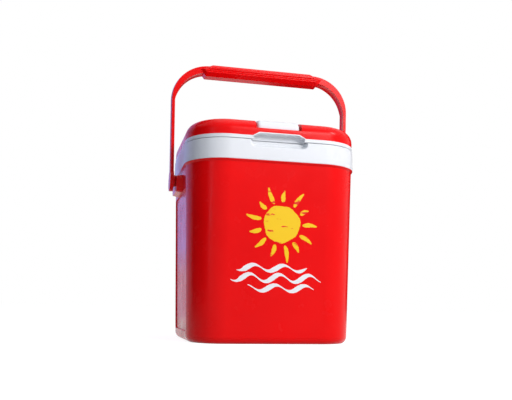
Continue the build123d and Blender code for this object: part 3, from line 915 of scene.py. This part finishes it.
# %% The waves
wave_steps, wave_length = 72, 37
marks = []
for low, left, right, swing in ((91, -50, 38, 3.6), (79, -57, 56, 4.4), (67, -36, 47, 3.6)):
    path, half_widths = [], []
    for step in range(wave_steps + 1):
        part = step / wave_steps
        along = left + (right - left) * part
        phase = 2 * pi * (along - 0.4 * low) / wave_length
        path.append(Vector((along, low + swing * sin(phase))) * mm)
        press = min(1, 9 * part, 9 * (1 - part))
        half_widths.append((0.4 + press * (1.5 + 1.2 * cos(phase))) * mm)
    marks.append(brush_mark("wave", path, half_widths, rough=0.07))
wave_print = join_all("wave_print", marks)
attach(wave_print, "box")

# %% [markdown]
# ## Finishes
# Each finish is a small tree of nodes on Object coordinates, so a pattern has its real size and
# stays put when a piece moves. Moulded plastic looks real when it isn't perfect: its colour drifts
# a little over a hand's width, its gloss drifts faster, and its skin ripples by a hair. The same
# few helpers make each of these: a noise, a change of range, a mix of two colours and a bump.

# %% Node helpers
def new_finish(name, roughness, specular, metallic=0.0):
    """A material with its shader's plain values set."""
    material = bpy.data.materials.new(name)
    material.use_nodes = True
    shader = material.node_tree.nodes["Principled BSDF"]
    shader.inputs["Roughness"].default_value = roughness
    shader.inputs["Specular IOR Level"].default_value = specular
    shader.inputs["Metallic"].default_value = metallic
    return material, shader


def noise(material, scale, detail, stretch=(1, 1, 1)):
    """A noise on Object coordinates; the scale is in cells to a metre."""
    add = material.node_tree.nodes.new
    link = material.node_tree.links.new
    place, mapping, texture = (
        add(kind) for kind in ("ShaderNodeTexCoord", "ShaderNodeMapping", "ShaderNodeTexNoise")
    )
    mapping.inputs["Scale"].default_value = stretch
    texture.inputs["Scale"].default_value = scale
    texture.inputs["Detail"].default_value = detail
    link(place.outputs["Object"], mapping.inputs["Vector"])
    link(mapping.outputs["Vector"], texture.inputs["Vector"])
    return texture.outputs["Fac"]


def spread(material, value, start, end, low, high):
    """Carry a value from one range to another, and hold it inside."""
    node = material.node_tree.nodes.new("ShaderNodeMapRange")
    for socket, number in zip(("From Min", "From Max", "To Min", "To Max"), (start, end, low, high)):
        node.inputs[socket].default_value = number
    material.node_tree.links.new(value, node.inputs["Value"])
    return node.outputs["Result"]


def two_colours(material, factor, first, second):
    """A mix of two colours by a factor; either may be a socket."""
    node = material.node_tree.nodes.new("ShaderNodeMix")
    node.data_type = "RGBA"
    material.node_tree.links.new(factor, node.inputs["Factor"])
    for socket, colour in (("A", first), ("B", second)):
        slot = next(s for s in node.inputs if s.identifier == f"{socket}_Color")
        if isinstance(colour, tuple):
            slot.default_value = (*colour, 1)
        else:
            material.node_tree.links.new(colour, slot)
    return next(s for s in node.outputs if s.identifier == "Result_Color")


def ripple(material, shader, height, distance):
    """Bump the skin by a height given in metres."""
    node = material.node_tree.nodes.new("ShaderNodeBump")
    node.inputs["Distance"].default_value = distance
    node.inputs["Strength"].default_value = 1
    material.node_tree.links.new(height, node.inputs["Height"])
    material.node_tree.links.new(node.outputs["Normal"], shader.inputs["Normal"])


def height_of(material):
    """The height above the ground at each point, in metres."""
    add = material.node_tree.nodes.new
    place, parts = add("ShaderNodeTexCoord"), add("ShaderNodeSeparateXYZ")
    material.node_tree.links.new(place.outputs["Object"], parts.inputs["Vector"])
    return parts.outputs["Z"]


# %% [markdown]
# ## Moulded plastics
# One function makes every moulded plastic from a deep and a pale tone. The gloss comes from the
# roughness; a low specular level keeps a deep red from greying under a white sky.

# %% Moulded plastics
def moulded(name, deep, pale, gloss, specular):
    """A moulded plastic: drifting colour, uneven gloss and a rippled skin."""
    material, shader = new_finish(name, gloss[0], specular)
    link = material.node_tree.links.new
    drift = spread(material, noise(material, 9, 3), 0.3, 0.7, 0, 1)
    link(two_colours(material, drift, deep, pale), shader.inputs["Base Color"])
    link(spread(material, noise(material, 45, 4), 0.35, 0.65, *gloss), shader.inputs["Roughness"])
    ripple(material, shader, noise(material, 420, 2), 0.03 * mm)
    return material


red_plastic = moulded("red_plastic", (0.78, 0.002, 0.003), (0.86, 0.003, 0.004), (0.2, 0.28), 0.11)
white_plastic = moulded("white_plastic", (0.73, 0.74, 0.77), (0.77, 0.78, 0.80), (0.3, 0.42), 0.4)
pack_plastic = moulded("pack_plastic", (0.03, 0.16, 0.5), (0.05, 0.22, 0.6), (0.28, 0.4), 0.4)
seal_rubber = moulded("seal_rubber", (0.10, 0.10, 0.11), (0.15, 0.15, 0.16), (0.55, 0.7), 0.3)
plastics = (red_plastic, white_plastic, pack_plastic, seal_rubber)
print("moulded:", ", ".join(material.name for material in plastics))

# %% Foam, steel and ink
foam, shader = new_finish("foam", 0.85, 0.2)
cells = foam.node_tree.nodes.new("ShaderNodeTexVoronoi")
cells.inputs["Scale"].default_value = 350
place = foam.node_tree.nodes.new("ShaderNodeTexCoord")
foam.node_tree.links.new(place.outputs["Object"], cells.inputs["Vector"])
tone = two_colours(foam, cells.outputs["Distance"], (0.75, 0.66, 0.42), (0.86, 0.79, 0.58))
foam.node_tree.links.new(tone, shader.inputs["Base Color"])
ripple(foam, shader, cells.outputs["Distance"], 0.4 * mm)

steel_rod, shader = new_finish("steel_rod", 0.25, 0.5, 1.0)
drawn = noise(steel_rod, 900, 2, (0.03, 1, 1))
tone = two_colours(steel_rod, drawn, (0.5, 0.5, 0.52), (0.7, 0.7, 0.72))
steel_rod.node_tree.links.new(tone, shader.inputs["Base Color"])
steel_rod.node_tree.links.new(
    spread(steel_rod, drawn, 0.3, 0.7, 0.18, 0.34), shader.inputs["Roughness"]
)


def ink(name, colour, under, bare):
    """A brushed ink that thins out in streaks and specks and shows what is under it."""
    material, shader = new_finish(name, 0.4, 0.3)
    streaks = spread(material, noise(material, 160, 6, (0.35, 1, 1)), bare, bare + 0.035, 1, 0)
    link = material.node_tree.links.new
    link(two_colours(material, streaks, colour, under), shader.inputs["Base Color"])
    ripple(material, shader, noise(material, 500, 3, (0.3, 1, 1)), 0.08 * mm)
    return material


sun_print.data.materials.append(ink("sun_ink", (0.90, 0.56, 0.006), (0.74, 0.02, 0.006), 0.345))
wave_print.data.materials.append(ink("wave_ink", (0.82, 0.82, 0.84), (0.8, 0.3, 0.3), 0.27))
print("materials so far:", len(bpy.data.materials))

# %% Put the finishes on
finishes = {
    "red_plastic": red_plastic,
    "white_plastic": white_plastic,
    "pack_plastic": pack_plastic,
    "seal_rubber": seal_rubber,
    "foam": foam,
    "steel_rod": steel_rod,
}
for entry in frame["record"]["subparts"]:
    mesh = nodes[entry["node"]].data
    mesh.materials.clear()
    mesh.materials.append(finishes[entry["material_slot"]])
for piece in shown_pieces():
    if "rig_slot" in piece:
        piece.data.materials.clear()
        piece.data.materials.append(finishes[piece["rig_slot"]])
print("finishes:", ", ".join(finishes))

# %% [markdown]
# ## Light
# A large soft lamp stands to the right and in front, high enough that its reflection misses the
# flat front and runs along the lid's shoulder. A pale blue card stands behind on the left, where
# the side wall mirrors it at a flat angle. Dark cards stand on both sides, like sheets of black
# board, and keep the round corners and the strap from turning pale where they are seen at a flat
# angle. A small lamp sets a glint on the lid's shoulder, a cool one on the left tints the shade side
# of the white pieces, and a broad, weak one overhead lifts the faces that look up. The cards are
# kept out of the camera's sight.

# %% Lamps and cards
def soft_light(name, place, aim, size, power, colour=(1, 1, 1)):
    """A rectangular lamp that points at a place."""
    data = bpy.data.lights.new(name, "AREA")
    data.shape = "RECTANGLE"
    data.size, data.size_y = size
    data.energy = power
    data.color = colour
    lamp = bpy.data.objects.new(name, data)
    bpy.context.scene.collection.objects.link(lamp)
    lamp.location = place
    lamp.rotation_euler = (Vector(aim) - Vector(place)).to_track_quat("-Z", "Y").to_euler()
    print("lamp:", name, power, "W")


def card(name, start, end, low, high, glow, shades=True):
    """An upright card over a line on the floor; glow holds its lower and upper light."""
    across = Vector((*end, 0)) - Vector((*start, 0))
    turn = Matrix((across.normalized(), (0, 0, 1), across.normalized().cross((0, 0, 1))))
    sheet_piece = prism(
        name,
        [(0, low), (across.length, low), (across.length, high), (0, high)],
        4 * mm,
        Matrix.Translation((*start, 0)) @ turn.transposed().to_4x4(),
    )
    material, shader = new_finish(name, 0.8, 0.0)
    shader.inputs["Base Color"].default_value = (0.02, 0.02, 0.02, 1)
    above = spread(material, height_of(material), 0.1, 0.16, 0, 1)
    link = material.node_tree.links.new
    link(two_colours(material, above, *glow), shader.inputs["Emission Color"])
    shader.inputs["Emission Strength"].default_value = 1
    sheet_piece.data.materials.append(material)
    sheet_piece.visible_camera = False
    sheet_piece.visible_diffuse = shades
    print("card:", name)


soft_light("key", (0.75, -1.5, 1.05), (0.02, 0, 0.18), (0.8, 0.7), 20.5)
soft_light("sparkle", (1.06, -0.82, 1.3), (0.07, -0.1, 0.26), (0.1, 0.1), 8)
soft_light("fill", (-1.3, -0.8, 0.5), (0, 0, 0.22), (0.8, 0.8), 3.5, (0.45, 0.75, 1))
soft_light("top", (0.1, -0.2, 1.7), (0, 0, 0.2), (1.2, 1.0), 4)
mauve, lavender, black = (0.95, 0.75, 0.98), (0.62, 0.64, 1.4), (0, 0, 0)
card("blue_card", (-0.75, 0.35), (-0.13, 0.55), 0.01, 0.8, (mauve, lavender))
card("dark_card", (-0.55, -0.45), (-0.62, 0.2), 0.01, 0.7, (black, black))
card("right_card", (0.13, 0.5), (0.75, 0.3), 0.01, 0.7, (black, black), shades=False)
card("upper_card", (-0.75, 0.35), (-0.13, 0.55), 0.8, 1.5, (black, black))

# %% [markdown]
# ## Background and floor
# The camera, mirrors and glass see plain white behind the box, while the light that falls on the
# box comes from a dimmer, cooler sky. The floor does the same: what the camera sees of it is white
# with the box's own shadow left in.

# %% World
def seen_directly(tree):
    """1 for rays that show the background: from the camera, a mirror or glass."""
    path = tree.nodes.new("ShaderNodeLightPath")
    factor = path.outputs["Is Camera Ray"]
    for ray in ("Is Glossy Ray", "Is Transmission Ray"):
        larger = tree.nodes.new("ShaderNodeMath")
        larger.operation = "MAXIMUM"
        tree.links.new(factor, larger.inputs[0])
        tree.links.new(path.outputs[ray], larger.inputs[1])
        factor = larger.outputs[0]
    return factor


def end_tree(tree, output, lit, seen):
    """End a node tree with one shader for lighting the scene and another for what is seen."""
    surface = tree.nodes.new(output)
    choice = tree.nodes.new("ShaderNodeMixShader")
    tree.links.new(seen_directly(tree), choice.inputs[0])
    tree.links.new(lit.outputs[0], choice.inputs[1])
    tree.links.new(seen.outputs[0], choice.inputs[2])
    tree.links.new(choice.outputs[0], surface.inputs[0])


world = bpy.data.worlds.new("studio")
world.use_nodes = True
bpy.context.scene.world = world
tree = world.node_tree
tree.nodes.clear()
sky = tree.nodes.new("ShaderNodeBackground")
sky.inputs["Color"].default_value = (0.86, 0.9, 1, 1)
sky.inputs["Strength"].default_value = 0.38
backdrop = tree.nodes.new("ShaderNodeBackground")
backdrop.inputs["Color"].default_value = (1, 1, 1, 1)
end_tree(tree, "ShaderNodeOutputWorld", sky, backdrop)
print("sky strength:", round(sky.inputs["Strength"].default_value, 2))

# %% Floor
deselect()
bpy.ops.mesh.primitive_circle_add(vertices=64, radius=6, fill_type="NGON")
floor = bpy.context.object
floor.name = "floor"
paper = bpy.data.materials.new("paper")
paper.use_nodes = True
tree = paper.node_tree
tree.nodes.clear()
matt = tree.nodes.new("ShaderNodeBsdfDiffuse")
matt.inputs["Color"].default_value = (0.6, 0.6, 0.6, 1)
faint = tree.nodes.new("ShaderNodeBsdfDiffuse")
faint.inputs["Color"].default_value = (0.24, 0.24, 0.24, 1)
white = tree.nodes.new("ShaderNodeEmission")
white.inputs["Strength"].default_value = 0.92
both = tree.nodes.new("ShaderNodeAddShader")
tree.links.new(faint.outputs[0], both.inputs[0])
tree.links.new(white.outputs[0], both.inputs[1])
end_tree(tree, "ShaderNodeOutputMaterial", matt, both)
floor.data.materials.append(paper)
bpy.context.scene.view_settings.view_transform = "Standard"
print("floor radius in m:", round(floor.dimensions.x / 2, 1))
